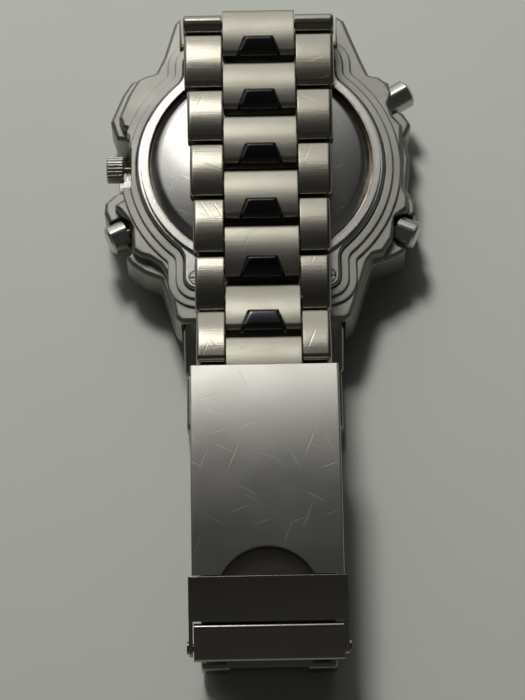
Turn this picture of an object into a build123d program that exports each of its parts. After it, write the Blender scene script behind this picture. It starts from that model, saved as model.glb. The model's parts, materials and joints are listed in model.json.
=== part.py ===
from build123d import *
import math
import os

os.makedirs("parts", exist_ok=True)

# Wristwatch with hands and a digital display, lying face down with its bracelet closed.
# All lengths are in millimetres. The origin is the centre of the crystal's face.
# +Z points up from the face to the case back, +Y points to twelve o'clock,
# and +X points to nine o'clock, because the watch is seen from behind.

# Case
case_half_width = 22.2
case_half_length = 25.0
bezel_height = 2.4
flank_top = 7.9
shoulder_top = 9.6
shoulder_edge = 0.45
flank_edge = 0.45
outline_corner = 0.5
cavity_radius = 15.6
cavity_floor = 3.4
dial_opening_radius = 14.2
lug_opening = 22.6
upper_case_end = 18.9
lower_case_end = 19.7
under_ledge_z = 8.7
rim_inner_offset = 1.2
rim_inner_top = 10.3
rim_outer_offset = 2.3
rim_outer_top = 9.95
overrun = 1.0

# Case back
plate_radius = 17.5
plate_ear_width = 21.6
plate_ear_low = 19.5
plate_ear_high = 18.2
plate_ear_radius = 1.7
plate_ear_root_share = 1.1
screw_inset = 1.75
plate_gap = 0.15
plate_seat = 9.3
plate_top = 10.8
plate_edge = 0.35
lip_outer = 16.9
lip_inner = 15.8
lip_top = 11.5
bowl_outer = 15.7
bowl_inner = 13.2
bowl_floor = 10.7
dome_rim = 11.2
dome_top = 12.9
back_wall = 1.0
screw_head_radius = 1.0
screw_head_height = 0.6
screw_shank_radius = 0.5
screw_length = 3.4
screw_slot_width = 0.28
screw_slot_depth = 0.3
back_gasket_radius = 16.6
back_gasket_section = 0.4

# Front
bezel_outer = 20.4
bezel_inner = 15.2
bezel_chamfer = 1.2
crystal_radius = 14.9
crystal_thickness = 1.6
crystal_gasket_height = 1.2
dial_radius = 14.9
dial_thickness = 0.4
dial_z = 3.7
dial_seat_gap = 0.05
window_width = 12.0
window_height = 4.4
window_offset = 6.6
lcd_margin = 0.7
lcd_thickness = 0.8

# Hands and their arbors
hand_thickness = 0.2
hour_hand_length = 8.0
minute_hand_length = 12.0
second_hand_length = 12.6
hour_hand_width = 1.6
minute_hand_width = 1.2
second_hand_width = 0.4
hand_level_step = 0.4
hand_tail_share = 0.22
hour_pipe_outer = 1.0
hour_pipe_inner = 0.72
minute_pipe_outer = 0.66
minute_pipe_inner = 0.34
second_arbor_radius = 0.28
second_boss_radius = 0.9
arbor_bore_clearance = 0.06

# Movement
movement_radius = 15.2
movement_bottom = 5.1
movement_top = 8.7
board_thickness = 0.5
battery_radius = 4.75
battery_thickness = 2.0
battery_x = 6.6
battery_y = -5.6
coil_length = 8.0
coil_radius = 1.1
coil_x = 0.0
coil_y = 9.6
fit_gap = 0.1

# Crown and push pieces
crown_radius = 1.9
crown_length = 2.4
crown_face_x = 21.9
crown_y = 1.2
crown_z = 7.1
crown_knurls = 24
knurl_radius = 0.17
crown_pull = 1.0
crown_recess_x = 18.3
crown_recess_half = 3.1
stem_radius = 0.45
stem_inner_x = 11.0
stem_clearance = 0.05
lever_length = 3.4
lever_width = 1.6
lever_thickness = 0.6
pusher_radius = 2.05
pusher_head = 3.4
pusher_chamfer = 0.35
pusher_shank_radius = 0.7
pusher_shank = 4.2
pusher_travel = 0.7
pusher_z = 7.0
pusher_clearance = 0.08
pusher_recess_radius = 2.45
pusher_four_reach = 23.8
pusher_eight_reach = 24.0
pusher_ten_reach = 25.1
pusher_recess_bottom = 19.3
pusher_four_angle = 205.0
pusher_eight_angle = -25.0
pusher_ten_angle = 31.5
pusher_spring_wire = 0.18
pusher_spring_turns = 3
pusher_spring_radius = 1.1
contact_thickness = 0.3

# Bracelet
link_pitch = 8.6
link_half = 1.6
link_crown = 0.5
link_corner = 0.85
link_overlap = 1.95
last_overlap = 1.1
piece_gap = 0.45
centre_width = 10.2
centre_end = 5.5
fixed_pin_place = 3.95
centre_side_gap = 0.15
upper_lug_gap = 0.55
lower_lug_gap = 0.2
upper_clasp_width = 17.9
lower_clasp_width = 17.5
side_edge = 0.5
pin_radius = 0.6
pin_recess = 0.25
pin_clearance = 0.05
inlay_length = 2.5
inlay_narrow = 3.8
inlay_wide = 5.8
inlay_proud = 0.1
inlay_depth = 0.45
inlay_groove = 0.15
bar_radius = 0.75
bar_tip_radius = 0.45
bar_tip_length = 0.9
upper_bar_y = 21.6
lower_bar_y = 22.3
lug_bar_z = 6.0
end_link_overlap = 1.7
end_link_far_overlap = 1.65
end_link_corner = 1.2
first_side_start = 1.95
upper_taper_shares = (1.0, 0.92, 0.69, 0.5, 0.28, 0.17, 0.08, 0.0)
lower_taper_shares = (1.0, 0.87, 0.66, 0.45, 0.28, 0.13, 0.0)

# Line of the closed bracelet: first hinge over the case, then the tilt of each link
first_hinge_y = 20.1
strand_z = 15.0
upper_tilts = (0.0, 0.0, 0.0, 0.0, 5.0, -10.0, -4.0)
floor_link_z = 1.95
last_link_lean = 1.5

# Clasp
clasp_y = -34.4
clasp_z = 18.55
clasp_tilt = 4.0
clasp_radius = 90.0
cover_length = 28.9
cover_width = 19.8
cover_wall = 0.8
cover_depth = 3.6
cover_edge = 0.25
notch_radius = 6.8
notch_depth = 3.6
adjust_holes = 4
adjust_pitch = 2.4
knuckle_place = 22.6
knuckle_depth = 2.0
knuckle_length = 2.2
knuckle_width = 0.9
leaf_thickness = 0.9
leaf_depth = 1.55
eye_radius = 0.95
clasp_pin_radius = 0.45
inner_leaf_width = 9.2
leaf_joint_place = 11.2
outer_leaf_width = 17.4
leaf_window_gap = 0.5
leaf_window_end = 24.1
flap_gap = 0.2
flap_length = 5.8
flap_thickness = 0.7
flap_width = 20.7
flap_arm = 0.5
flap_arm_clearance = 0.08
flap_arm_depth = 2.9
flap_pivot_place = 38.3
flap_pivot_depth = 1.9
flap_pin_radius = 0.5
flap_pin_head_radius = 0.85
flap_pin_head = 0.3
flap_eye_radius = 1.25
block_gap = 0.2
block_length = 5.0
block_roof = 0.9
block_depth = 2.6
block_corner = 0.75
block_width = 19.4
block_cheek = 0.8
block_cheek_depth = 4.3
tongue_top_width = 11.3
tongue_tip_width = 9.7
tongue_drop = 1.5
tongue_thickness = 0.8
lug_block_width = 10.0
open_pivot_depth = 3.28
open_pivot_place = 37.45
open_pivot_clearance = 0.3

# Half outlines of the case, from the twelve o'clock lug to the six o'clock one,
# as shares of the half width and the half length.
shoulder_left_shares = (
    (-0.51, 0.99), (-0.545, 0.955), (-0.617, 0.73), (-0.67, 0.625), (-0.735, 0.61),
    (-0.785, 0.585), (-0.845, 0.49), (-0.908, 0.34), (-0.885, 0.275), (-0.824, 0.25),
    (-0.824, -0.16), (-0.94, -0.225), (-0.896, -0.265), (-0.85, -0.32), (-0.824, -0.37),
    (-0.815, -0.505), (-0.765, -0.54), (-0.71, -0.555), (-0.64, -0.6), (-0.603, -0.66),
    (-0.56, -0.85), (-0.545, -0.925), (-0.51, -0.955),
)
shoulder_right_shares = (
    (0.51, 0.99), (0.56, 0.955), (0.617, 0.81), (0.67, 0.68), (0.71, 0.59),
    (0.77, 0.58), (0.825, 0.54), (0.865, 0.47), (0.835, 0.4), (0.86, 0.32),
    (0.915, 0.26), (0.905, 0.02), (0.9, -0.12), (0.935, -0.2), (0.93, -0.275),
    (0.85, -0.33), (0.825, -0.46), (0.765, -0.545), (0.7, -0.56), (0.665, -0.6),
    (0.63, -0.7), (0.575, -0.86), (0.545, -0.93), (0.51, -0.955),
)
flank_left_shares = (
    (-0.51, 0.98), (-0.552, 0.945), (-0.625, 0.735), (-0.68, 0.64), (-0.75, 0.625),
    (-0.83, 0.61), (-0.89, 0.52), (-0.965, 0.35), (-0.925, 0.235), (-0.835, 0.22),
    (-0.835, -0.1), (-0.92, -0.11), (-0.995, -0.175), (-1.0, -0.235), (-0.965, -0.31),
    (-0.85, -0.345), (-0.835, -0.49), (-0.865, -0.515), (-0.825, -0.565), (-0.745, -0.62),
    (-0.64, -0.66), (-0.575, -0.85), (-0.55, -0.915), (-0.51, -0.94),
)
flank_right_shares = (
    (0.51, 0.98), (0.568, 0.945), (0.625, 0.815), (0.68, 0.685), (0.72, 0.6),
    (0.79, 0.605), (0.85, 0.57), (0.88, 0.49), (0.855, 0.41), (0.93, 0.37),
    (0.975, 0.3), (0.935, 0.215), (0.96, 0.08), (0.935, -0.13), (0.985, -0.21),
    (0.985, -0.28), (0.87, -0.335), (0.855, -0.46), (0.925, -0.495), (0.855, -0.535),
    (0.765, -0.57), (0.69, -0.59), (0.655, -0.68), (0.585, -0.87), (0.555, -0.925), (0.51, -0.94),
)


def prism(sketch, z_low, z_high):
    return extrude(Pos(0, 0, z_low) * sketch, z_high - z_low)


def disc(radius, z_low, z_high, x=0, y=0):
    return Pos(x, y, (z_low + z_high) / 2) * Cylinder(radius, z_high - z_low)


def tube(outer, inner, z_low, z_high):
    return disc(outer, z_low, z_high) - disc(inner, z_low - overrun, z_high + overrun)


def slab(x_low, x_high, y_low, y_high, z_low, z_high):
    box = Box(x_high - x_low, y_high - y_low, z_high - z_low)
    return Pos((x_low + x_high) / 2, (y_low + y_high) / 2, (z_low + z_high) / 2) * box


def bar_along_x(y, z, radius, x_low, x_high):
    return Pos((x_low + x_high) / 2, y, z) * Rot(0, 90, 0) * Cylinder(radius, x_high - x_low)


def across(face, x_low, x_high):
    """Carries a face drawn on the YZ plane from x_low to x_high."""
    return Pos(x_low, 0, 0) * extrude(face, x_high - x_low, dir=(1, 0, 0))


def top_edges(solid, level):
    on_level = solid.edges().filter_by(Plane.XY)
    return [edge for edge in on_level if abs(edge.center().Z - level) < outline_corner / 10]


# Case

def outline(left_shares, right_shares):
    left = [(x * case_half_width, y * case_half_length) for x, y in left_shares]
    right = [(x * case_half_width, y * case_half_length) for x, y in right_shares]
    face = make_face(Polyline(*left, *reversed(right), close=True))
    return fillet(face.vertices(), outline_corner)


def plate_outline():
    ears = RectangleRounded(plate_ear_width, plate_ear_low + plate_ear_high, plate_ear_radius)
    ears = Pos(0, (plate_ear_high - plate_ear_low) / 2) * ears
    outline_face = Circle(plate_radius) + ears
    roots = [vertex for vertex in outline_face.vertices() if is_ear_root(vertex)]
    free_side = min(plate_ear_low, plate_ear_high) - plate_ear_radius - abs(roots[0].Y)
    return fillet(roots, free_side * plate_ear_root_share)


def is_ear_root(vertex):
    at_side = abs(abs(vertex.X) - plate_ear_width / 2) < plate_gap / 10
    straight_end = plate_ear_high - plate_ear_radius
    return at_side and abs(vertex.Y) < straight_end - plate_gap / 10


def ear_places():
    x = plate_ear_width / 2 - screw_inset
    low = screw_inset - plate_ear_low
    high = plate_ear_high - screw_inset
    return [(-x, low), (x, low), (-x, high), (x, high)]


def pusher_location(angle):
    """A frame at a push piece's inner end, with local +Z pointing out of the case."""
    x = math.cos(math.radians(angle))
    y = math.sin(math.radians(angle))
    start = (x * pusher_recess_bottom, y * pusher_recess_bottom, pusher_z)
    return Plane(origin=start, x_dir=(0, 0, 1), z_dir=(x, y, 0)).location


def pusher_room(angle):
    """The recess round a push piece's head and the bore of its shank."""
    depth = pusher_ten_reach - pusher_recess_bottom
    recess = Pos(0, 0, depth / 2) * Cylinder(pusher_recess_radius, depth)
    bore_length = pusher_shank + overrun
    bore = Pos(0, 0, -bore_length / 2) * Cylinder(pusher_shank_radius + pusher_clearance, bore_length)
    return pusher_location(angle) * (recess + bore)


def case_body():
    shoulder = prism(outline(shoulder_left_shares, shoulder_right_shares), bezel_height, shoulder_top)
    shoulder = chamfer(top_edges(shoulder, shoulder_top), shoulder_edge)
    flank = prism(outline(flank_left_shares, flank_right_shares), bezel_height, flank_top)
    flank = chamfer(top_edges(flank, flank_top), flank_edge)
    return shoulder + flank


def case_rims():
    plate = plate_outline()
    low = prism(offset(plate, rim_outer_offset), plate_seat - overrun, rim_outer_top)
    high = prism(offset(plate, rim_inner_offset), plate_seat - overrun, rim_inner_top)
    inside = prism(outline(flank_left_shares, flank_right_shares), bezel_height, rim_inner_top + overrun)
    return (low + high) & inside


def strap_rooms():
    half = lug_opening / 2
    reach = case_half_length + overrun
    upper = slab(-half, half, upper_case_end, reach, 0, rim_inner_top + overrun)
    lower = slab(-half, half, -reach, -lower_case_end, 0, under_ledge_z)
    return upper + lower


def lug_bar_holes():
    holes = None
    reach = lug_opening / 2 + bar_tip_length + fit_gap
    for y in (upper_bar_y, -lower_bar_y):
        hole = bar_along_x(y, lug_bar_z, bar_tip_radius, -reach, reach)
        holes = hole if holes is None else holes + hole
    return holes


def crown_room():
    room = slab(-case_half_width - overrun, -crown_recess_x, -crown_recess_half, crown_recess_half,
                crown_z - crown_radius - 2 * fit_gap, rim_inner_top + overrun)
    bore = bar_along_x(crown_y, crown_z, stem_radius + stem_clearance, -case_half_width, -stem_inner_x)
    return room + bore


def mid_case():
    body = case_body() + case_rims()
    pocket = prism(offset(plate_outline(), plate_gap), plate_seat, rim_inner_top + overrun)
    body -= pocket
    groove_half = back_gasket_section / 2
    body -= tube(back_gasket_radius + groove_half, back_gasket_radius - groove_half,
                 plate_seat - back_gasket_section, plate_seat + overrun)
    body -= disc(cavity_radius, cavity_floor, shoulder_top)
    body -= disc(dial_opening_radius, 0, shoulder_top)
    body -= strap_rooms()
    body -= lug_bar_holes()
    body -= crown_room()
    for angle in (pusher_four_angle, pusher_eight_angle, pusher_ten_angle):
        body -= pusher_room(angle)
    for x, y in ear_places():
        body -= disc(screw_shank_radius, plate_seat - screw_length, plate_seat + overrun, x, y)
    return body


def bezel():
    ring = tube(bezel_outer, bezel_inner, 0, bezel_height)
    outer_front = ring.edges().filter_by(GeomType.CIRCLE).group_by(Axis.Z)[0].sort_by(SortBy.RADIUS)[-1]
    return chamfer(outer_front, bezel_chamfer)


def crystal():
    return disc(crystal_radius, 0, crystal_thickness)


def crystal_gasket():
    return tube(bezel_inner, crystal_radius, crystal_thickness - crystal_gasket_height, crystal_thickness)


def dome_cap(grow, base):
    """The shallow dome in the middle of the case back, or its hollow when grow is negative."""
    rise = dome_top - dome_rim
    radius = (bowl_inner ** 2 + rise ** 2) / (2 * rise)
    ball = Pos(0, 0, dome_top + grow - radius) * Rot(90, 0, 0) * Sphere(radius)
    return disc(bowl_inner + grow, base, dome_top + grow) & ball


def case_back():
    outline_solid = prism(plate_outline(), plate_seat, plate_top)
    outline_solid = fillet(top_edges(outline_solid, plate_top), plate_edge)
    lip = tube(lip_outer, lip_inner, plate_top, lip_top)
    bowl_points = [
        (0, bowl_floor), (bowl_inner, bowl_floor), (bowl_outer, lip_top),
        (bowl_outer, dome_top + overrun), (0, dome_top + overrun),
    ]
    bowl = revolve(Plane.XZ * make_face(Polyline(*bowl_points, close=True)), Axis.Z)
    dome = dome_cap(0, plate_seat + overrun)
    back = outline_solid + lip - bowl + dome - dome_cap(-back_wall, plate_seat - overrun)
    for x, y in ear_places():
        back -= disc(screw_head_radius + plate_gap, plate_top - screw_head_height, plate_top + overrun, x, y)
        back -= disc(screw_shank_radius + plate_gap, plate_seat - overrun, plate_top, x, y)
    return back


def case_back_screws():
    screws = []
    for x, y in ear_places():
        head_low = plate_top - screw_head_height
        screw = disc(screw_head_radius, head_low, plate_top, x, y)
        screw += disc(screw_shank_radius, plate_seat - screw_length, head_low, x, y)
        arm = screw_head_radius * 2
        slot = Box(arm, screw_slot_width, 2 * screw_slot_depth)
        slot += Box(screw_slot_width, arm, 2 * screw_slot_depth)
        screws.append(screw - Pos(x, y, plate_top) * slot)
    return Compound(children=screws)


def back_gasket():
    half = back_gasket_section / 2
    return tube(back_gasket_radius + half, back_gasket_radius - half, plate_seat - back_gasket_section,
                plate_seat)


# Dial side

def window_places():
    return (-window_offset, window_offset)


def dial():
    plate = disc(dial_radius, dial_z, dial_z + dial_thickness)
    plate -= disc(hour_pipe_outer + arbor_bore_clearance, 0, movement_top)
    for y in window_places():
        plate -= Pos(0, y, dial_z) * Box(window_width, window_height, 4 * dial_thickness)
    return plate


def lcd_panels():
    low = dial_z + dial_thickness
    panels = []
    for y in window_places():
        width = window_width + 2 * lcd_margin
        height = window_height + 2 * lcd_margin
        panels.append(slab(-width / 2, width / 2, y - height / 2, y + height / 2, low, low + lcd_thickness))
    return Compound(children=panels)


def hand(length, width, level, hub_radius, bore_radius, angle):
    """A tapered hand that points to an angle from twelve o'clock, with its hub."""
    tail = length * hand_tail_share
    points = [(-width / 2, -tail), (width / 2, -tail), (width / 4, length), (-width / 4, length)]
    blade = make_face(Polyline(*points, close=True))
    blade = prism(blade, level, level + hand_thickness)
    blade += disc(hub_radius, level, level + hand_thickness)
    blade = Rot(0, 0, angle) * blade
    if bore_radius > 0:
        blade -= disc(bore_radius, level - overrun, level + overrun)
    return blade


def hour_level():
    return dial_z - 2 * hand_level_step + hand_thickness / 2


def minute_level():
    return hour_level() - hand_level_step


def second_level():
    return minute_level() - hand_level_step


def hour_hand():
    pipe_top = movement_bottom + board_thickness
    pipe = tube(hour_pipe_outer, hour_pipe_inner, hour_level(), pipe_top)
    blade = hand(hour_hand_length, hour_hand_width, hour_level(), 2 * hour_pipe_outer, hour_pipe_inner, 60)
    return blade + pipe


def minute_hand():
    pipe_top = movement_bottom + 2 * board_thickness
    pipe = tube(minute_pipe_outer, minute_pipe_inner, minute_level(), pipe_top)
    hub = 2 * minute_pipe_outer
    blade = hand(minute_hand_length, minute_hand_width, minute_level(), hub, minute_pipe_inner, -60)
    return blade + pipe


def second_hand():
    blade = hand(second_hand_length, second_hand_width, second_level(), second_boss_radius, 0, 180)
    return blade + disc(second_arbor_radius, second_level(), movement_bottom + 3 * board_thickness)


# Movement

def movement_frame():
    frame = disc(movement_radius, movement_bottom, movement_top)
    frame -= disc(battery_radius + fit_gap, movement_bottom + board_thickness, movement_top + overrun,
                  battery_x, battery_y)
    room = coil_radius + fit_gap
    frame -= slab(coil_x - coil_length / 2 - room, coil_x + coil_length / 2 + room, coil_y - room,
                  coil_y + room, movement_bottom + board_thickness, movement_top + overrun)
    frame -= disc(hour_pipe_outer + arbor_bore_clearance, 0, movement_bottom + 4 * board_thickness)
    frame -= slab(-movement_radius, -stem_inner_x + lever_length + crown_pull, crown_y - lever_width,
                  crown_y + lever_width,
                  crown_z - lever_width, crown_z + lever_width)
    for angle in (pusher_four_angle, pusher_eight_angle, pusher_ten_angle):
        room = Cylinder(pusher_shank_radius + 4 * fit_gap, 2 * pusher_shank)
        frame -= pusher_location(angle) * Pos(0, 0, -pusher_shank) * room
    return frame


def circuit_board():
    low = movement_top
    board = disc(movement_radius - back_wall, low, low + board_thickness)
    hollow = disc(battery_radius + fit_gap, low - overrun, low + overrun, battery_x, battery_y)
    return board - hollow


def battery():
    low = movement_bottom + board_thickness
    cell = disc(battery_radius, low, low + battery_thickness, battery_x, battery_y)
    cap_radius = battery_radius - back_wall
    return cell + disc(cap_radius, low + battery_thickness, low + battery_thickness + fit_gap,
                       battery_x, battery_y)


def stepper_coil():
    z = movement_bottom + board_thickness + coil_radius
    half = coil_length / 2
    core = bar_along_x(coil_y, z, coil_radius / 2, coil_x - half, coil_x + half)
    winding = bar_along_x(coil_y, z, coil_radius, coil_x - half + coil_radius, coil_x + half - coil_radius)
    ends = None
    for x in (coil_x - half + coil_radius / 2, coil_x + half - coil_radius / 2):
        cheek = Pos(x, coil_y, z) * Box(coil_radius, 2 * coil_radius, 2 * coil_radius)
        ends = cheek if ends is None else ends + cheek
    return core + winding + ends


# Crown and push pieces

def crown():
    inner_x = crown_face_x - crown_length
    body = bar_along_x(crown_y, crown_z, crown_radius, -crown_face_x, -inner_x)
    rim = body.edges().filter_by(GeomType.CIRCLE)
    body = chamfer(rim, knurl_radius)
    length = crown_length + overrun
    for index in range(crown_knurls):
        turn = 2 * math.pi * index / crown_knurls
        y = crown_y + (crown_radius + knurl_radius / 3) * math.cos(turn)
        z = crown_z + (crown_radius + knurl_radius / 3) * math.sin(turn)
        body -= bar_along_x(y, z, knurl_radius, -crown_face_x - overrun, -crown_face_x + length)
    return body


def winding_stem():
    inner_x = crown_face_x - crown_length
    stem = bar_along_x(crown_y, crown_z, stem_radius, -inner_x, -stem_inner_x)
    groove_x = stem_inner_x + lever_length / 2
    groove = bar_along_x(crown_y, crown_z, stem_radius + overrun, -groove_x - lever_thickness / 2,
                         -groove_x + lever_thickness / 2)
    groove -= bar_along_x(crown_y, crown_z, stem_radius / 2, -groove_x - overrun, -groove_x + overrun)
    return stem - groove


def setting_lever():
    groove_x = stem_inner_x + lever_length / 2
    thick = lever_thickness - 2 * stem_clearance
    plate = slab(-groove_x - thick / 2, -groove_x + thick / 2, crown_y - lever_width + fit_gap,
                 crown_y + lever_width - fit_gap, crown_z - lever_width + fit_gap, crown_z + lever_width - fit_gap)
    hole = stem_radius / 2 + stem_clearance
    slot = slab(-groove_x - overrun, -groove_x + overrun, crown_y - hole, crown_y + hole, crown_z, crown_z + lever_width + overrun)
    return plate - bar_along_x(crown_y, crown_z, hole, -groove_x - overrun, -groove_x + overrun) - slot


def pusher(angle, reach):
    """A round head in its recess, on a shank that reaches the movement's contact."""
    low = pusher_travel + pusher_spring_turns * 2 * pusher_spring_wire
    high = reach - pusher_recess_bottom
    head = Pos(0, 0, (low + high) / 2) * Cylinder(pusher_radius, high - low)
    rim = head.edges().filter_by(GeomType.CIRCLE).sort_by(Axis.Z)[-1]
    head = chamfer(rim, pusher_chamfer)
    shank_length = pusher_shank + low
    shank = Pos(0, 0, low - shank_length / 2) * Cylinder(pusher_shank_radius, shank_length)
    return pusher_location(angle) * (head + shank)


def pusher_springs():
    """The three return springs, drawn as stacked turns at the length they have when pressed."""
    springs = []
    for angle in (pusher_four_angle, pusher_eight_angle, pusher_ten_angle):
        spring = None
        for turn in range(pusher_spring_turns):
            level = pusher_spring_wire * (1 + 2 * turn)
            ring = Pos(0, 0, level) * Torus(pusher_spring_radius, pusher_spring_wire)
            spring = ring if spring is None else spring + ring
        springs.append(pusher_location(angle) * spring)
    return Compound(children=springs)


# Bracelet

def distance(a, b):
    return math.hypot(a[0] - b[0], a[1] - b[1])


def link_plane(start, end, outer_side_up):
    """A frame at a link's hinge: local -Y runs to the next hinge, +Z is the outer face."""
    span = distance(start, end)
    run = ((end[0] - start[0]) / span, (end[1] - start[1]) / span)
    side = 1 if outer_side_up else -1
    normal = (0, side * run[1], -side * run[0])
    return Plane(origin=(0, start[0], start[1]), x_dir=(side, 0, 0), z_dir=normal).location


def piece_profile(start, end, swell=0, corner=link_corner):
    """The side view of a link piece: flat inside, crowned outside, with rounded corners."""
    s0 = -(start - swell)
    s1 = -(end + swell)
    low = -link_half - swell
    shoulder = link_half - link_crown + swell
    top = ThreePointArc((s1, shoulder), ((s0 + s1) / 2, link_half + swell), (s0, shoulder))
    lines = Polyline((s0, shoulder), (s0, low), (s1, low), (s1, shoulder))
    face = make_face(lines + top)
    return Plane.YZ * fillet(face.vertices(), corner + swell)


def trapezoid_room(end, grow):
    """The upright room of the inlay, whose wide side is at the piece's far end."""
    narrow = inlay_narrow / 2 + grow
    wide = inlay_wide / 2 + grow
    near = -(end - inlay_length - grow)
    far = -(end + link_half)
    flare = (wide - narrow) * (link_half + inlay_length) / inlay_length
    points = [(-narrow, near), (narrow, near), (narrow + flare, far), (-narrow - flare, far)]
    room = prism(make_face(Polyline(*points, close=True)), 0, 2 * link_half)
    return room & slab(-wide, wide, far, near + overrun, 0, 2 * link_half)


def centre_piece(start, end, bores):
    """The middle piece of a link with its inlay, as two solids."""
    half = centre_width / 2
    body = across(piece_profile(start, end), -half, half)
    skin = across(piece_profile(start, end, inlay_proud), -half, half)
    skin -= across(piece_profile(start, end, -inlay_depth), -half, half)
    inlay = trapezoid_room(end, 0) & skin
    body -= trapezoid_room(end, inlay_groove) & skin
    for place, radius in bores:
        body -= bar_along_x(-place, 0, radius, -half - overrun, half + overrun)
    return [body, inlay]


def side_piece(side, width, start, end, bores, corner=link_corner):
    inner = centre_width / 2 + centre_side_gap
    outer = width / 2
    body = across(piece_profile(start, end, 0, corner), inner, outer)
    long_edges = [edge for edge in body.edges() if edge.center().X > outer - side_edge / 10]
    body = fillet(long_edges, side_edge)
    for place, radius in bores:
        body -= bar_along_x(-place, 0, radius, inner - overrun, outer + overrun)
    if side < 0:
        body = mirror(body, Plane.YZ)
    return body


def link(width, previous_width, side_start, far_overlap):
    """A middle piece hinged to the last pair of side pieces, with its own pair pinned to it."""
    loose = pin_radius + pin_clearance
    pieces = centre_piece(-link_overlap, centre_end, [(0, pin_radius), (fixed_pin_place, pin_radius)])
    for side in (-1, 1):
        pieces.append(side_piece(side, width, side_start, link_pitch + far_overlap,
                                 [(fixed_pin_place, pin_radius), (link_pitch, loose)]))
    reach = width / 2 - pin_recess
    pieces.append(bar_along_x(-fixed_pin_place, 0, pin_radius, -reach, reach))
    hinge_reach = previous_width / 2 - pin_recess
    pieces.append(bar_along_x(0, 0, pin_radius, -hinge_reach, hinge_reach))
    return pieces


def end_link(width, reach):
    """The link between the lugs, bored for the spring bar."""
    loose = pin_radius + pin_clearance
    bar_bore = bar_radius + pin_clearance
    centre_far = reach - link_pitch + centre_end
    pin_place = centre_far - end_link_overlap
    pieces = centre_piece(-end_link_overlap, centre_far, [(0, bar_bore), (pin_place, pin_radius)])
    for side in (-1, 1):
        pieces.append(side_piece(side, width, -end_link_overlap, reach + end_link_far_overlap,
                                 [(0, bar_bore), (pin_place, pin_radius), (reach, loose)],
                                 end_link_corner))
    half = width / 2 - pin_recess
    pieces.append(bar_along_x(-pin_place, 0, pin_radius, -half, half))
    return pieces


def side_start(index):
    """How far from its hinge a link's side pieces start, clear of the side pieces before them."""
    return first_side_start if index == 1 else link_overlap + piece_gap


def taper(shares, lug_width, clasp_width):
    return [clasp_width + (lug_width - clasp_width) * share for share in shares]


def upper_hinges():
    """The hinges of the strand over the case back, from the lug to the clasp's spring bar."""
    points = [(upper_bar_y, lug_bar_z), (first_hinge_y, strand_z)]
    for tilt in upper_tilts:
        y, z = points[-1]
        turn = math.radians(tilt)
        points.append((y - link_pitch * math.cos(turn), z - link_pitch * math.sin(turn)))
    return points


def clasp_frame():
    return Location((0, clasp_y, clasp_z), (clasp_tilt, 0, 0))


def clasp_local(place, depth):
    """The local Y and Z of a point at a length along the clasp's arc and a depth under it."""
    half_turn = cover_length / 2 / clasp_radius
    turn = place / clasp_radius - half_turn
    centre_y = clasp_radius * math.sin(half_turn)
    centre_z = -clasp_radius * math.cos(half_turn)
    radius = clasp_radius - depth
    return -(centre_y + radius * math.sin(turn)), centre_z + radius * math.cos(turn)


def clasp_world(place, depth):
    y, z = clasp_local(place, depth)
    turn = math.radians(clasp_tilt)
    return (clasp_y + y * math.cos(turn) - z * math.sin(turn),
            clasp_z + y * math.sin(turn) + z * math.cos(turn))


def lower_hinges():
    """The hinges of the strand on the table, from the six o'clock lug to the end block."""
    flat_links = len(lower_taper_shares) - 2
    end = clasp_world(open_pivot_place, open_pivot_depth)
    lean = math.radians(last_link_lean)
    turn_y = end[0] + link_pitch * math.sin(lean)
    turn_z = end[1] - link_pitch * math.cos(lean)
    span = flat_links * link_pitch
    first_y = turn_y + math.sqrt(span ** 2 - (turn_z - floor_link_z) ** 2)
    points = [(-lower_bar_y, lug_bar_z)]
    for index in range(flat_links + 1):
        share = index / flat_links
        points.append((first_y + (turn_y - first_y) * share, floor_link_z + (turn_z - floor_link_z) * share))
    points.append(end)
    return points


def upper_links():
    hinges = upper_hinges()
    widths = taper(upper_taper_shares, lug_opening - 2 * upper_lug_gap, upper_clasp_width)
    nodes = {}
    for index, width in enumerate(widths):
        start, end = hinges[index], hinges[index + 1]
        if index == 0:
            pieces = end_link(width, distance(start, end))
        else:
            pieces = link(width, widths[index - 1], side_start(index), link_overlap)
        place = link_plane(start, end, True)
        nodes[f"upper_link_{index}"] = Compound(children=[place * piece for piece in pieces])
    return nodes


def lower_links():
    hinges = lower_hinges()
    widths = taper(lower_taper_shares, lug_opening - 2 * lower_lug_gap, lower_clasp_width)
    nodes = {}
    for index, width in enumerate(widths):
        start, end = hinges[index], hinges[index + 1]
        is_last = index == len(widths) - 1
        if index == 0:
            pieces = end_link(width, distance(start, end))
        else:
            far_overlap = last_overlap if is_last else link_overlap
            pieces = link(width, widths[index - 1], side_start(index), far_overlap)
        if is_last:
            inner = lug_block_width / 2 + open_pivot_clearance
            reach = width / 2 - pin_recess
            pieces.append(bar_along_x(-link_pitch, 0, pin_radius, inner, reach))
            pieces.append(bar_along_x(-link_pitch, 0, pin_radius, -reach, -inner))
        place = link_plane(start, end, False)
        nodes[f"lower_link_{index}"] = Compound(children=[place * piece for piece in pieces])
    return nodes


def lug_bars():
    half = lug_opening / 2 - fit_gap
    bars = []
    for y in (upper_bar_y, -lower_bar_y):
        bar = bar_along_x(y, lug_bar_z, bar_radius, -half, half)
        reach = half + bar_tip_length
        bars.append(bar + bar_along_x(y, lug_bar_z, bar_tip_radius, -reach, reach))
    return Compound(children=bars)


# Clasp, drawn in its own frame: local -Y runs along the clasp from the strand over the case back

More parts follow.
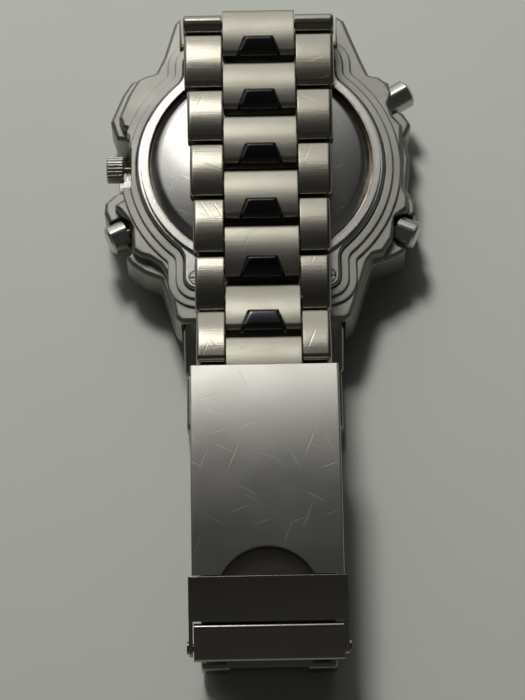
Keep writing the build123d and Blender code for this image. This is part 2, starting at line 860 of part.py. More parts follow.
def band(place_low, place_high, depth_low, depth_high, x_low, x_high):
    """A stretch of the clasp's arc between two depths, from x_low to x_high."""
    middle = (place_low + place_high) / 2
    outer = ThreePointArc(clasp_local(place_low, depth_low), clasp_local(middle, depth_low),
                          clasp_local(place_high, depth_low))
    inner = ThreePointArc(clasp_local(place_high, depth_high), clasp_local(middle, depth_high),
                          clasp_local(place_low, depth_high))
    sides = Line(outer @ 1, inner @ 0) + Line(inner @ 1, outer @ 0)
    return across(Plane.YZ * make_face(outer + inner + sides), x_low, x_high)


def clasp_bar(place, depth, radius, x_low, x_high):
    y, z = clasp_local(place, depth)
    return bar_along_x(y, z, radius, x_low, x_high)


def spring_bar_spot():
    """Where the last hinge of the upper strand meets the cover: its place and depth."""
    y, z = upper_hinges()[-1]
    turn = math.radians(clasp_tilt)
    local_y = (y - clasp_y) * math.cos(turn) + (z - clasp_z) * math.sin(turn)
    local_z = -(y - clasp_y) * math.sin(turn) + (z - clasp_z) * math.cos(turn)
    half_turn = cover_length / 2 / clasp_radius
    centre_y = clasp_radius * math.sin(half_turn)
    centre_z = -clasp_radius * math.cos(half_turn)
    radius = math.hypot(-local_y - centre_y, local_z - centre_z)
    turn_at = math.atan2(-local_y - centre_y, local_z - centre_z)
    return (turn_at + half_turn) * clasp_radius, clasp_radius - radius


def cover_shell():
    half = cover_width / 2
    block = band(0, cover_length, 0, cover_depth, -half, half)
    long_edges = [edge for edge in block.edges()
                  if abs(abs(edge.center().X) - half) < cover_edge / 10 and edge.length > cover_length / 2]
    long_edges = sorted(long_edges, key=lambda edge: edge.center().Z)[-2:]
    block = fillet(long_edges, cover_edge)
    inner = half - cover_wall
    return block - band(-overrun, cover_length + overrun, cover_wall, cover_depth + overrun, -inner, inner)


def clasp_cover():
    """The folded cover with its thumb notch, its knuckles and the rows of adjusting holes."""
    shell = cover_shell()
    notch_y, notch_z = clasp_local(cover_length - notch_depth + notch_radius, 0)
    shell -= Pos(0, notch_y, notch_z) * Cylinder(notch_radius, 4 * cover_wall)
    place, depth = spring_bar_spot()
    for index in range(adjust_holes):
        hole = bar_tip_radius + pin_clearance
        shell -= clasp_bar(place + index * adjust_pitch, depth, hole, -cover_width, cover_width)
    half_length = knuckle_length / 2
    inner = inner_leaf_width / 2 + 2 * fit_gap
    for x_low in (inner, -inner - knuckle_width):
        knuckle = band(knuckle_place - half_length, knuckle_place + half_length, cover_wall / 2,
                       knuckle_depth + eye_radius, x_low, x_low + knuckle_width)
        shell += knuckle
    return shell - clasp_bar(knuckle_place, knuckle_depth, clasp_pin_radius, -cover_width / 3, cover_width / 3)


def clasp_spring_bar():
    place, depth = spring_bar_spot()
    half = cover_width / 2 - cover_wall - fit_gap
    bar = clasp_bar(place, depth, pin_radius, -half, half)
    reach = cover_width / 2 - fit_gap
    return bar + clasp_bar(place, depth, bar_tip_radius, -reach, reach)


def knuckle_pin():
    reach = inner_leaf_width / 2 + 2 * fit_gap + knuckle_width
    return clasp_bar(knuckle_place, knuckle_depth, clasp_pin_radius, -reach, reach)


def inner_leaf():
    """The short leaf between the cover's knuckles and the long leaf, with an eye at each end."""
    half = inner_leaf_width / 2
    leaf = band(leaf_joint_place, knuckle_place, leaf_depth, leaf_depth + leaf_thickness, -half, half)
    for place in (leaf_joint_place, knuckle_place):
        leaf += clasp_bar(place, knuckle_depth, eye_radius, -half, half)
        leaf -= clasp_bar(place, knuckle_depth, clasp_pin_radius + pin_clearance, -half - overrun,
                          half + overrun)
    return leaf


def leaf_window_half():
    return inner_leaf_width / 2 + 2 * fit_gap + knuckle_width + leaf_window_gap


def outer_leaf():
    """The long leaf: a frame whose window clears the short leaf, with an eye on each rail."""
    half = outer_leaf_width / 2
    far = block_place()
    leaf = band(leaf_joint_place, far, leaf_depth, leaf_depth + leaf_thickness, -half, half)
    window = leaf_window_half()
    leaf -= band(leaf_joint_place - 2 * eye_radius, leaf_window_end, 0, 2 * cover_depth, -window, window)
    inner = inner_leaf_width / 2 + fit_gap
    for x_low in (inner, -half):
        leaf += clasp_bar(leaf_joint_place, knuckle_depth, eye_radius, x_low, x_low + half - inner)
    return leaf - clasp_bar(leaf_joint_place, knuckle_depth, clasp_pin_radius, -half - overrun, half + overrun)


def leaf_pin():
    half = outer_leaf_width / 2
    return clasp_bar(leaf_joint_place, knuckle_depth, clasp_pin_radius, -half, half)


def flap_place():
    return cover_length + flap_gap


def block_place():
    return flap_place() + flap_length + block_gap


def block_profile():
    """The side view of the end block: an arched roof that turns down into a nose."""
    far = block_place() + block_length
    back_low = clasp_local(block_place(), leaf_depth + leaf_thickness)
    back_high = clasp_local(block_place(), 0)
    middle_high = clasp_local((block_place() + far) / 2, 0)
    nose_high = clasp_local(far, fit_gap)
    nose_low = clasp_local(far + fit_gap, block_depth)
    inner_nose = clasp_local(far - cover_wall, block_depth)
    inner_corner = clasp_local(far - cover_wall, block_roof)
    inner_back = clasp_local(block_place() + cover_wall, block_roof)
    inner_low = clasp_local(block_place() + cover_wall, leaf_depth + leaf_thickness)
    roof = ThreePointArc(back_high, middle_high, nose_high)
    rest = Polyline(nose_high, nose_low, inner_nose, inner_corner, inner_back, inner_low, back_low, back_high)
    face = make_face(roof + rest)
    corners = [vertex for vertex in face.vertices()
               if min((Vector(vertex) - Vector(*spot)).length for spot in (back_high, nose_high)) < fit_gap]
    return Plane.YZ * fillet(corners, block_corner)


def block_cheek_piece(x_low, x_high):
    far = block_place() + block_length
    cheek = band(block_place() + cover_wall / 2, far - cover_wall / 2, block_roof / 2, block_cheek_depth,
                 x_low, x_high)
    return cheek


def tongue_piece():
    """The centre lug under the nose, whose foot tapers like the links' inlays."""
    half = lug_block_width / 2
    y, z = clasp_local(open_pivot_place, open_pivot_depth)
    lug = band(open_pivot_place - link_half, block_place() + block_length - cover_wall / 2, block_roof / 2,
               open_pivot_depth + link_half, -half, half)
    far = block_place() + block_length
    top = clasp_local(far + fit_gap, block_depth - fit_gap)
    tip = clasp_local(far + 2 * fit_gap, block_depth + tongue_drop)
    run = Vector(0, tip[0] - top[0], tip[1] - top[1])
    frame = Plane(origin=(0, top[0], top[1]), x_dir=(1, 0, 0), z_dir=Vector(1, 0, 0).cross(run))
    points = [(-tongue_top_width / 2, 0), (tongue_top_width / 2, 0),
              (tongue_tip_width / 2, run.length), (-tongue_tip_width / 2, run.length)]
    plate = extrude(frame * make_face(Polyline(*points, close=True)), tongue_thickness, both=True)
    return lug - bar_along_x(y, z, pin_radius + pin_clearance, -half - overrun, half + overrun), plate


def end_block():
    half = block_width / 2
    block = across(block_profile(), -half, half)
    for x_low in (-half, half - block_cheek):
        block += block_cheek_piece(x_low, x_low + block_cheek)
    lug, plate = tongue_piece()
    block += lug
    block += plate
    hole = flap_pin_radius
    return block - clasp_bar(flap_pivot_place, flap_pivot_depth, hole, -half - overrun, half + overrun)


def safety_flap():
    """The bar that folds over the clasp's end, on an arm at each side."""
    outer = flap_width / 2
    inner = outer - flap_arm
    lift = fit_gap
    bar = band(flap_place(), flap_place() + flap_length, -lift, flap_thickness - lift, -outer, outer)
    flap = bar
    for x_low in (-outer, inner):
        arm = band(flap_place(), flap_pivot_place, -lift, flap_arm_depth, x_low, x_low + flap_arm)
        eye = clasp_bar(flap_pivot_place, flap_pivot_depth, flap_eye_radius, x_low, x_low + flap_arm)
        trim = band(flap_place() + flap_length, flap_pivot_place + overrun, -overrun, block_roof / 2,
                    x_low, x_low + flap_arm)
        flap += arm - trim + eye
    hole = flap_pin_radius + pin_clearance
    return flap - clasp_bar(flap_pivot_place, flap_pivot_depth, hole, -outer - overrun, outer + overrun)


def flap_pins():
    pins = []
    inner = block_width / 2 - block_cheek
    outer = flap_width / 2 + flap_pin_head
    for side in (-1, 1):
        low, high = sorted((side * inner, side * outer))
        pin = clasp_bar(flap_pivot_place, flap_pivot_depth, flap_pin_radius, low, high)
        low, high = sorted((side * (flap_width / 2 + pin_clearance), side * outer))
        head = clasp_bar(flap_pivot_place, flap_pivot_depth, flap_pin_head_radius, low, high)
        pins.append(pin + head)
    return Compound(children=pins)


def build_nodes():
    nodes = {
        "mid_case": mid_case(),
        "bezel": bezel(),
        "crystal": crystal(),
        "crystal_gasket": crystal_gasket(),
        "case_back": case_back(),
        "case_back_screws": case_back_screws(),
        "back_gasket": back_gasket(),
        "dial": dial(),
        "lcd_panels": lcd_panels(),
        "hour_hand": hour_hand(),
        "minute_hand": minute_hand(),
        "second_hand": second_hand(),
        "movement_frame": movement_frame(),
        "circuit_board": circuit_board(),
        "battery": battery(),
        "stepper_coil": stepper_coil(),
        "crown": crown(),
        "winding_stem": winding_stem(),
        "setting_lever": setting_lever(),
        "pusher_four": pusher(pusher_four_angle, pusher_four_reach),
        "pusher_eight": pusher(pusher_eight_angle, pusher_eight_reach),
        "pusher_ten": pusher(pusher_ten_angle, pusher_ten_reach),
        "pusher_springs": pusher_springs(),
        "lug_spring_bars": lug_bars(),
    }
    nodes.update(upper_links())
    nodes.update(lower_links())
    clasp = {
        "clasp_cover": clasp_cover(),
        "clasp_spring_bar": clasp_spring_bar(),
        "knuckle_pin": knuckle_pin(),
        "inner_leaf": inner_leaf(),
        "outer_leaf": outer_leaf(),
        "leaf_pin": leaf_pin(),
        "end_block": end_block(),
        "safety_flap": safety_flap(),
        "flap_pins": flap_pins(),
    }
    for name, shape in clasp.items():
        nodes[name] = clasp_frame() * shape
    return nodes


for node_name, node_shape in build_nodes().items():
    export_step(node_shape, f"parts/{node_name}.step")
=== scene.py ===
"""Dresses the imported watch: a steel wristwatch face down on a table, its bracelet closed.

The frame is in metres: +Z points from the watch's face to its case back, +Y to twelve
o'clock, and the face lies on the table at z = 0. Sizes in this file are in millimetres
until they go into a mesh.
"""

import json
import logging
import math
from dataclasses import dataclass, field
from enum import Enum

import bmesh
import bpy
import numpy as np
from mathutils import Matrix


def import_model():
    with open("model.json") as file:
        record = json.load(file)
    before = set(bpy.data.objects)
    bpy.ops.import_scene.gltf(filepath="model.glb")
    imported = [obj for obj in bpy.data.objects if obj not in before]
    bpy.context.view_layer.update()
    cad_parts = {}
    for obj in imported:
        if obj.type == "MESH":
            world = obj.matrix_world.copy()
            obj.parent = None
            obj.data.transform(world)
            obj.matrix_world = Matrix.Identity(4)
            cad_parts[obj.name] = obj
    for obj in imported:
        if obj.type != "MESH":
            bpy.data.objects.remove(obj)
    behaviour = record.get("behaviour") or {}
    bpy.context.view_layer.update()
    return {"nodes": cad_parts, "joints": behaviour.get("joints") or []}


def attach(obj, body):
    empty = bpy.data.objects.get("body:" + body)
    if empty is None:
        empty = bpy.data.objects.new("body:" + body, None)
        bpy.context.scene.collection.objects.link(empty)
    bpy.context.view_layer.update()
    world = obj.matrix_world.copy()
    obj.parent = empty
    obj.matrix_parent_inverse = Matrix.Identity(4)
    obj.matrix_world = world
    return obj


LOG = logging.getLogger("watch")
MM = 0.001
# In metres. Only the points that meet on a turned profile's axis lie this close together.
MERGE_DISTANCE = 1e-8


class Grain(Enum):
    """The way a metal's surface was finished."""

    BRUSHED_ACROSS = "brushed across the bracelet"
    BRUSHED_ALONG = "brushed along the bracelet"
    BLASTED = "blasted with glass beads"
    POLISHED = "polished"
    TURNED = "turned on a lathe"


def linear(hex_colour: str, alpha: float = 1.0) -> tuple[float, float, float, float]:
    """Turns an sRGB hex colour into the linear values that shaders take.

    Args:
        hex_colour: Six hex digits with a leading hash.
        alpha: The fourth value.

    Returns:
        Linear red, green, blue and alpha.
    """
    values = [int(hex_colour[start:start + 2], 16) / 255 for start in (1, 3, 5)]
    red, green, blue = (v / 12.92 if v <= 0.04045 else ((v + 0.055) / 1.055) ** 2.4
                        for v in values)
    return red, green, blue, alpha


def add_node(tree: bpy.types.NodeTree, kind: str, settings: dict | None = None,
             links: dict | None = None) -> bpy.types.Node:
    """Adds one node to a tree, with its settings and what feeds it.

    Args:
        tree: The tree that gets the node.
        kind: The node's Blender type name.
        settings: Attribute names, or input names or numbers, with their values.
        links: Input names or numbers with the output sockets that feed them.

    Returns:
        The new node.
    """
    node = tree.nodes.new(kind)
    for key, value in (settings or {}).items():
        if isinstance(key, str) and hasattr(node, key):
            setattr(node, key, value)
        else:
            node.inputs[key].default_value = value
    for key, socket in (links or {}).items():
        tree.links.new(socket, node.inputs[key])
    return node


def set_ramp(node: bpy.types.Node, stops: list[tuple[float, tuple[float, ...]]]) -> None:
    """Gives a colour ramp its stops.

    Args:
        node: The ramp's node.
        stops: Places from 0 to 1 with linear colours.
    """
    elements = node.color_ramp.elements
    while len(elements) < len(stops):
        elements.new(1.0)
    for element, (place, colour) in zip(elements, stops):
        element.position = place
        element.color = colour


def grey(value: float) -> tuple[float, float, float, float]:
    """A neutral linear colour."""
    return value, value, value, 1.0


def empty_material(name: str) -> tuple[bpy.types.Material, bpy.types.NodeTree]:
    """Makes a material without any node.

    Args:
        name: The finish's name.

    Returns:
        The material and its node tree.
    """
    material = bpy.data.materials.new(name)
    material.use_nodes = True
    material.node_tree.nodes.clear()
    return material, material.node_tree


@dataclass(frozen=True)
class Steel:
    """Stainless steel with one of the usual watch finishes.

    Polished steel mirrors the room, brushing draws the reflection out across its lines,
    and bead blasting breaks it up into a soft satin grey. Real brush lines and bead pits
    are a few hundredths of a millimetre wide, too fine to show in the render, so grain_mm
    draws them several times as coarse. The same goes for the width of the scratches.
    """

    name: str
    colour: str
    grain: Grain
    roughness: float
    grain_mm: float = 0.12
    grain_height_mm: float = 0.01
    scratches: float = 0.0
    edge_mm: float = 0.12
    shade_colour: str | None = None
    tarnish_colour: str | None = None
    tarnish_ring_mm: tuple[float, float] | None = None
    tarnish_cover: float = 0.85
    tarnish_core_share: float = 0.4
    polished_beyond_mm: float | None = None
    polished_share: float = 0.6
    # A brush line is this much shorter in the noise than in the metal, so it runs long.
    brush_squeeze: float = 0.03
    # At a scale of 1, the wave texture's rings are about this far apart.
    ring_scale: float = 0.3
    # Handling leaves patches of this size, a little smoother or duller than the rest.
    patch_mm: float = 6.0
    patch_span: tuple[float, float] = (0.3, 0.7)
    patch_shares: tuple[float, float] = (0.93, 1.08)
    # Hairlines: each way they run in radians, with the spacing of their cells in millimetres.
    scratch_ways: tuple[tuple[float, float], ...] = (
        (0.35, 0.5), (-0.5, 0.6), (1.2, 0.8), (-1.1, 0.7))
    scratch_stretch: tuple[float, float, float] = (18.0, 1.0, 3.0)
    scratch_span: tuple[float, float] = (0.04, 0.2)
    scratch_cells_left_out: float = 0.47
    scratch_dulling: float = 0.2
    scratch_depth: float = -3.0

    def material(self) -> bpy.types.Material:
        """Builds the finish.

        Returns:
            The material, patterned in the frame's own millimetres.
        """
        material, tree = empty_material(self.name)
        place = add_node(tree, "ShaderNodeTexCoord").outputs["Object"]
        grain = self._grain(tree, place)
        patch = add_node(tree, "ShaderNodeTexNoise", {
            "Scale": 1 / (self.patch_mm * MM), "Detail": 3.0}, {"Vector": place}).outputs["Fac"]
        rough = add_node(tree, "ShaderNodeMapRange", {
            "From Min": self.patch_span[0], "From Max": self.patch_span[1],
            "To Min": self.roughness * self.patch_shares[0],
            "To Max": self.roughness * self.patch_shares[1]}, {"Value": patch}).outputs["Result"]
        if self.polished_beyond_mm:
            rough = self._polish_sides(tree, place, rough)
        colour = self._colour(tree, place, patch, grain)
        if self.scratches > 0:
            marks = self._scratches(tree, place)
            rough = add_node(tree, "ShaderNodeMath", {
                "operation": "MULTIPLY_ADD", 1: self.scratch_dulling * self.scratches},
                {0: marks, 2: rough}).outputs[0]
            grain = add_node(tree, "ShaderNodeMath", {
                "operation": "MULTIPLY_ADD", 1: self.scratch_depth * self.scratches},
                {0: marks, 2: grain}).outputs[0]
        edge = add_node(tree, "ShaderNodeBevel", {"samples": 6, "Radius": self.edge_mm * MM})
        bump = add_node(tree, "ShaderNodeBump", {
            "Strength": 1.0, "Distance": self.grain_height_mm * MM},
            {"Height": grain, "Normal": edge.outputs[0]})
        surface = add_node(tree, "ShaderNodeBsdfPrincipled", {"Metallic": 1.0}, {
            "Base Color": colour, "Roughness": rough, "Normal": bump.outputs[0]})
        add_node(tree, "ShaderNodeOutputMaterial", None, {"Surface": surface.outputs[0]})
        return material

    def _polish_sides(self, tree: bpy.types.NodeTree, place: bpy.types.NodeSocket,
                      rough: bpy.types.NodeSocket) -> bpy.types.NodeSocket:
        """Makes the outer pieces smoother, which are polished while the middle is satin.

        Args:
            tree: The material's tree.
            place: The place on the watch.
            rough: The roughness of the middle pieces.

        Returns:
            The roughness everywhere.
        """
        across = add_node(tree, "ShaderNodeSeparateXYZ", None, {0: place}).outputs["X"]
        away = add_node(tree, "ShaderNodeMath", {"operation": "ABSOLUTE"}, {0: across}).outputs[0]
        outer = add_node(tree, "ShaderNodeMath", {
            "operation": "GREATER_THAN", 1: self.polished_beyond_mm * MM}, {0: away}).outputs[0]
        share = add_node(tree, "ShaderNodeMapRange", {
            "To Min": 1.0, "To Max": self.polished_share}, {"Value": outer}).outputs["Result"]
        return add_node(tree, "ShaderNodeMath", {"operation": "MULTIPLY"},
                        {0: rough, 1: share}).outputs[0]

    def _grain(self, tree: bpy.types.NodeTree,
               place: bpy.types.NodeSocket) -> bpy.types.NodeSocket:
        """Draws the finish: rings round the axis, or noise that brushing squeezes one way.

        Args:
            tree: The material's tree.
            place: The place on the watch.

        Returns:
            The height of the finish, from 0 to 1.
        """
        if self.grain is Grain.TURNED:
            return add_node(tree, "ShaderNodeTexWave", {
                "wave_type": "RINGS", "rings_direction": "Z",
                "Scale": self.ring_scale / (self.grain_mm * MM),
                "Distortion": 1.5, "Detail": 2.0}, {"Vector": place}).outputs["Fac"]
        squeeze = {Grain.BRUSHED_ACROSS: (self.brush_squeeze, 1.0, 1.0),
                   Grain.BRUSHED_ALONG: (1.0, self.brush_squeeze, 1.0)}
        stretched = add_node(tree, "ShaderNodeMapping", {
            "Scale": squeeze.get(self.grain, (1.0, 1.0, 1.0))}, {"Vector": place})
        return add_node(tree, "ShaderNodeTexNoise", {
            "Scale": 1 / (self.grain_mm * MM), "Detail": 2.0},
            {"Vector": stretched.outputs[0]}).outputs["Fac"]

    def _scratches(self, tree: bpy.types.NodeTree,
                   place: bpy.types.NodeSocket) -> bpy.types.NodeSocket:
        """Draws straight hairline scratches: the middles of long thin cells, some left out.

        Args:
            tree: The material's tree.
            place: The place on the watch.

        Returns:
            1 in a scratch and 0 beside it.
        """
        total = None
        for turn, spacing in self.scratch_ways:
            turned = add_node(tree, "ShaderNodeMapping", {
                "vector_type": "TEXTURE", "Rotation": (0.0, 0.0, turn),
                "Scale": self.scratch_stretch}, {"Vector": place})
            cells = add_node(tree, "ShaderNodeTexVoronoi", {
                "feature": "F1", "Scale": 1 / (spacing * MM)}, {"Vector": turned.outputs[0]})
            line = add_node(tree, "ShaderNodeMapRange", {
                "From Min": self.scratch_span[0], "From Max": self.scratch_span[1],
                "To Min": 1.0, "To Max": 0.0}, {"Value": cells.outputs["Distance"]})
            kept = add_node(tree, "ShaderNodeMath", {
                "operation": "GREATER_THAN", 1: self.scratch_cells_left_out},
                {0: cells.outputs["Color"]})
            line = add_node(tree, "ShaderNodeMath", {"operation": "MULTIPLY"},
                            {0: line.outputs["Result"], 1: kept.outputs[0]}).outputs[0]
            total = line if total is None else add_node(
                tree, "ShaderNodeMath", {"operation": "MAXIMUM"}, {0: total, 1: line}).outputs[0]
        return total

    def _colour(self, tree: bpy.types.NodeTree, place: bpy.types.NodeSocket,
                patch: bpy.types.NodeSocket, grain: bpy.types.NodeSocket) -> bpy.types.NodeSocket:
        """Mixes the steel's colour, darker in patches and brown in a ring where it tarnishes.

        Args:
            tree: The material's tree.
            place: The place on the watch.
            patch: Where handling has dulled the steel, from 0 to 1.
            grain: The height of the finish, which breaks the tarnish up.

        Returns:
            The colour.
        """
        shade = linear(self.shade_colour or self.colour)
        colour = add_node(tree, "ShaderNodeMix", {
            "data_type": "RGBA", 6: linear(self.colour), 7: shade}, {0: patch}).outputs[2]
        if not (self.tarnish_ring_mm and self.tarnish_colour):
            return colour
        inner, outer = self.tarnish_ring_mm
        middle, half = (inner + outer) / 2 * MM, (outer - inner) / 2 * MM
        flat = add_node(tree, "ShaderNodeVectorMath", {
            "operation": "MULTIPLY", 1: (1.0, 1.0, 0.0)}, {0: place})
        away = add_node(tree, "ShaderNodeVectorMath", {"operation": "LENGTH"},
                        {0: flat.outputs[0]})
        off = add_node(tree, "ShaderNodeMath", {"operation": "SUBTRACT", 1: middle},
                       {0: away.outputs["Value"]})
        off = add_node(tree, "ShaderNodeMath", {"operation": "ABSOLUTE"}, {0: off.outputs[0]})
        inside = add_node(tree, "ShaderNodeMapRange", {
            "From Min": half, "From Max": half * self.tarnish_core_share,
            "To Min": 0.0, "To Max": self.tarnish_cover}, {"Value": off.outputs[0]})
        blotch = add_node(tree, "ShaderNodeMath", {"operation": "MULTIPLY"},
                          {0: inside.outputs["Result"], 1: grain})
        return add_node(tree, "ShaderNodeMix", {
            "data_type": "RGBA", 7: linear(self.tarnish_colour)},
            {0: blotch.outputs[0], 6: colour}).outputs[2]


@dataclass(frozen=True)
class Solid:
    """A plastic, rubber, lacquer or ceramic surface with a slight texture."""

    name: str
    colour: str
    roughness: float
    texture_mm: float = 0.4
    texture_height_mm: float = 0.01
    metallic: float = 0.0
    variation: float = 0.12
    rough_shares: tuple[float, float] = (0.85, 1.15)
    bump_strength: float = 0.6

    def material(self) -> bpy.types.Material:
        """Builds the finish.

        Returns:
            The material.
        """
        material, tree = empty_material(self.name)
        place = add_node(tree, "ShaderNodeTexCoord").outputs["Object"]
        noise = add_node(tree, "ShaderNodeTexNoise", {
            "Scale": 1 / (self.texture_mm * MM), "Detail": 3.0}, {"Vector": place}).outputs["Fac"]
        base = linear(self.colour)
        darker = tuple(value * (1 - self.variation) for value in base[:3]) + (1.0,)
        colour = add_node(tree, "ShaderNodeMix", {"data_type": "RGBA", 6: darker, 7: base},
                          {0: noise})
        rough = add_node(tree, "ShaderNodeMapRange", {
            "To Min": self.roughness * self.rough_shares[0],
            "To Max": self.roughness * self.rough_shares[1]}, {"Value": noise})
        bump = add_node(tree, "ShaderNodeBump", {
            "Strength": self.bump_strength, "Distance": self.texture_height_mm * MM},
            {"Height": noise})
        surface = add_node(tree, "ShaderNodeBsdfPrincipled", {"Metallic": self.metallic}, {
            "Base Color": colour.outputs[2], "Roughness": rough.outputs["Result"],
            "Normal": bump.outputs[0]})
        add_node(tree, "ShaderNodeOutputMaterial", None, {"Surface": surface.outputs[0]})
        return material


@dataclass(frozen=True)
class MineralGlass:
    """Clear pressed glass, which lets the dial show through and mirrors the lights."""

    name: str = "mineral_glass_clear"
    tint: str = "#F4F8F8"
    roughness: float = 0.02
    ior: float = 1.5

    def material(self) -> bpy.types.Material:
        """Builds the glass as a thin clear sheet.

        Returns:
            The material.
        """
        material, tree = empty_material(self.name)
        clear = add_node(tree, "ShaderNodeBsdfTransparent", {"Color": linear(self.tint)})
        gloss = add_node(tree, "ShaderNodeBsdfGlossy", {"Roughness": self.roughness})
        fresnel = add_node(tree, "ShaderNodeFresnel", {"IOR": self.ior})
        mix = add_node(tree, "ShaderNodeMixShader", None, {
            0: fresnel.outputs[0], 1: clear.outputs[0], 2: gloss.outputs[0]})
        add_node(tree, "ShaderNodeOutputMaterial", None, {"Surface": mix.outputs[0]})
        return material


def grid_mesh(name: str, points: np.ndarray,
              closed: tuple[bool, bool] = (False, False)) -> bpy.types.Mesh:
    """Makes a mesh from a grid of points, four corners to a face.

    Args:
        name: The mesh's name.
        points: Rows by columns by three, in millimetres.
        closed: Whether the last row meets the first, and the last column the first.

    Returns:
        The mesh, in metres, with smooth faces.
    """
    rows, columns = points.shape[:2]
    index = np.arange(rows * columns).reshape(rows, columns)
    if closed[0]:
        index = np.vstack([index, index[:1]])
    if closed[1]:
        index = np.hstack([index, index[:, :1]])
    quads = np.stack([index[:-1, :-1], index[1:, :-1], index[1:, 1:], index[:-1, 1:]], axis=-1)
    mesh = bpy.data.meshes.new(name)
    mesh.from_pydata((points.reshape(-1, 3) * MM).tolist(), [], quads.reshape(-1, 4).tolist())
    mesh.polygons.foreach_set("use_smooth", np.ones(len(mesh.polygons), bool))
    mesh.update()
    return mesh


def revolved_mesh(name: str, profile: np.ndarray, steps: int) -> bpy.types.Mesh:
    """Turns a profile round the Z axis; ends on the axis become single points.

    Each point is the profile's radius times the cosine and sine of the turn, at its height.

    Args:
        name: The mesh's name.
        profile: Radius and height of each point, in millimetres.
        steps: How many faces go round.

    Returns:
        The mesh.
    """
    turns = np.linspace(0.0, 2 * math.pi, steps, endpoint=False)
    points = np.stack([profile[:, :1] * np.cos(turns), profile[:, :1] * np.sin(turns),
                       np.repeat(profile[:, 1:], steps, axis=1)], axis=-1)
    mesh = grid_mesh(name, points, closed=(False, True))
    merged = bmesh.new()
    merged.from_mesh(mesh)
    bmesh.ops.remove_doubles(merged, verts=merged.verts, dist=MERGE_DISTANCE)
    merged.to_mesh(mesh)
    merged.free()
    return mesh


def place_piece(name: str, mesh: bpy.types.Mesh, material: bpy.types.Material, body: str) -> bpy.types.Object:
    """Puts a finished mesh in the scene as a piece on a body.

    Args:
        name: The piece's name.
        mesh: Its mesh, with its place in the vertices.
        material: Its finish.
        body: The body that it moves with.

    Returns:
        The new object.
    """
    mesh.materials.append(material)
    piece = bpy.data.objects.new(name, mesh)
    bpy.context.scene.collection.objects.link(piece)
    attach(piece, body)
    LOG.info("%s rides on %s, %d faces", name, body, len(mesh.polygons))
    return piece


def dress_node(node: bpy.types.Object, material: bpy.types.Material) -> None:
    """Puts one finish on a CAD node.

    Args:
        node: The CAD object.
        material: Its new finish.
    """
    if not node.material_slots:
        node.data.materials.append(material)
    for slot in node.material_slots:
        slot.material = material
    LOG.info("%s is dressed in %s", node.name, material.name)


@dataclass(frozen=True)
class Bar:
    """A small upright block, placed by its middle and turned about the vertical, in millimetres."""

    x: float
    y: float
    length: float
    width: float
    turn: float
    low: float
    high: float

    def corners(self) -> np.ndarray:
        """Works out the block's corners: half its sides either way, turned, then moved.

        Returns:
            Eight points, the lower four first.
        """
        flat = np.array([[-1, -1], [1, -1], [1, 1], [-1, 1]]) * [self.length / 2, self.width / 2]
        cos, sin = math.cos(self.turn), math.sin(self.turn)
        turned = flat @ np.array([[cos, sin], [-sin, cos]]) + [self.x, self.y]
        return np.vstack([np.column_stack([turned, np.full(4, level)])
                          for level in (self.low, self.high)])


def bars_mesh(name: str, bars: list[Bar]) -> bpy.types.Mesh:
    """Makes one mesh from many small blocks.

    Args:
        name: The mesh's name.
        bars: The blocks.

    Returns:
        The mesh, in metres, with flat faces.
    """
    sides = np.array([[3, 2, 1, 0], [4, 5, 6, 7], [0, 1, 5, 4], [1, 2, 6, 5], [2, 3, 7, 6],
                      [3, 0, 4, 7]])
    points = np.vstack([bar.corners() for bar in bars]) * MM
    faces = np.vstack([sides + 8 * index for index in range(len(bars))])
    mesh = bpy.data.meshes.new(name)
    mesh.from_pydata(points.tolist(), [], faces.tolist())
    mesh.update()
    return mesh


def lowest(node: bpy.types.Object) -> float:
    """Finds the front of a node, which is its lowest point, since the watch lies face down.

    Args:
        node: The CAD object.

    Returns:
        The height of that point in millimetres.
    """
    flat = np.empty(3 * len(node.data.vertices))
    node.data.vertices.foreach_get("co", flat)
    return float(flat[2::3].min()) / MM


@dataclass
class Finishes:
    """Every finish of the watch, made once."""

    made: dict[str, bpy.types.Material] = field(default_factory=dict)

    def get(self, finish: Steel | Solid | MineralGlass) -> bpy.types.Material:
        """Looks a finish up, and builds it when it is first asked for.

        Args:
            finish: Its description.

        Returns:
            Its material.
        """
        if finish.name not in self.made:
            self.made[finish.name] = finish.material()
        return self.made[finish.name]


# Glass beads leave fine pits: a soft grey without a mirror image, and blunt edges.
BLASTED = Steel("stainless_steel_bead_blasted", "#A3A29B", Grain.BLASTED, 0.42,
                grain_mm=0.12, grain_height_mm=0.010, edge_mm=0.3, shade_colour="#96958D")
# Buffed steel, worn a little: it mirrors the room softly, and dirt browns the groove.
BACK = Steel("stainless_steel_polished_back", "#D0CFCB", Grain.POLISHED, 0.22,
             grain_mm=1.2, grain_height_mm=0.003, scratches=0.3, shade_colour="#C6C4BE",
             tarnish_colour="#8A7148", tarnish_ring_mm=(15.2, 16.2))
# Brushed across: each middle piece shades from light to dark, and the sides are glossier.
LINK = Steel("stainless_steel_brushed_links", "#A5A296", Grain.BRUSHED_ACROSS, 0.32,
             grain_mm=0.20, grain_height_mm=0.008, scratches=0.25, edge_mm=0.25,
             shade_colour="#989488", polished_beyond_mm=5.05)
# A satin belt finish along the cover: the light falls off evenly, with hairlines over it.
COVER = Steel("stainless_steel_satin_cover", "#CCCBC4", Grain.BRUSHED_ALONG, 0.34,
              grain_mm=0.16, grain_height_mm=0.004, scratches=0.45, edge_mm=0.2,
              shade_colour="#C2C0B8")
# Strip as it left the rolls: dull and slightly warm.
BLADE = Steel("stainless_steel_rolled_blade", "#A39D92", Grain.BRUSHED_ALONG, 0.36,
              grain_mm=0.2, grain_height_mm=0.006, scratches=0.3, edge_mm=0.1,
              shade_colour="#8D877B")
